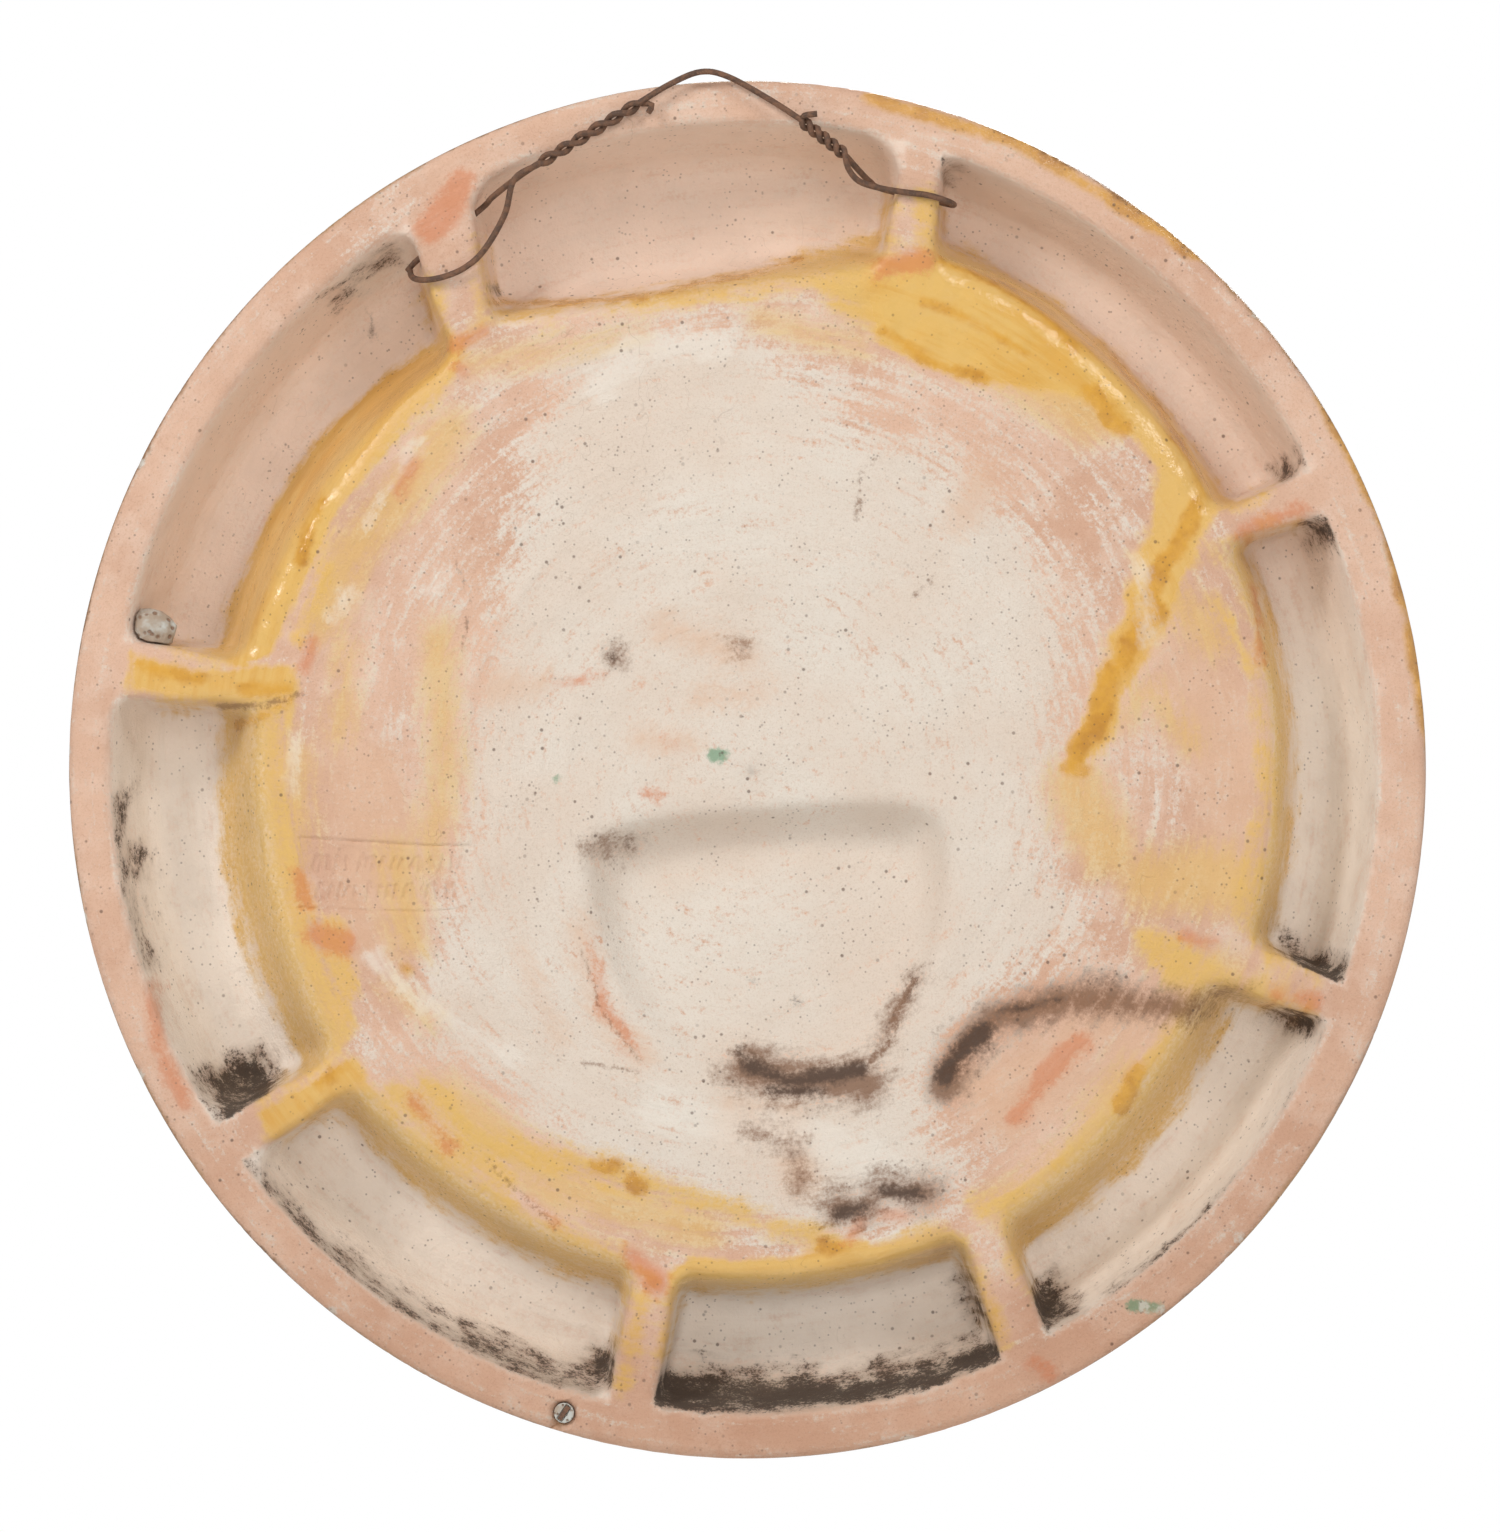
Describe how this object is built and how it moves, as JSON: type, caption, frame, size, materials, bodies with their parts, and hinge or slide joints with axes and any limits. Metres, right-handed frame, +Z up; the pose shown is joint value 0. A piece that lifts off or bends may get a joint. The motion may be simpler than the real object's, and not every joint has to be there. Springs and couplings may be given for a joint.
{
  "type": "majolica plaque",
  "caption": "Round fired-clay wall plaque seen from its back: flat rim, sunk pockets between struts, a D-shaped hollow and a twisted wire to hang it by.",
  "frame": {"origin": "the point under the wire's apex where the wall hook bears, on the wire's centre line in depth", "axes": "+Z up as the plaque hangs, -Y out of the pictured back, +Y out of the glazed front, +X to the right as seen from the back"},
  "size_m": [0.4654, 0.0658, 0.475],
  "materials": {
    "majolica": "bare pink clay and cream slip with yellow and amber glaze, matt and glossy in patches",
    "rusty_wire": "dark brown rust, dull",
    "plaster": "pale grey, chalky and pitted"
  },
  "bodies": {
    "root": {"plaque": "majolica", "hanging_wire": "rusty_wire", "rim_pin": "rusty_wire", "rim_plug": "plaster", "plaster_dab": "plaster"}
  },
  "joints": []
}
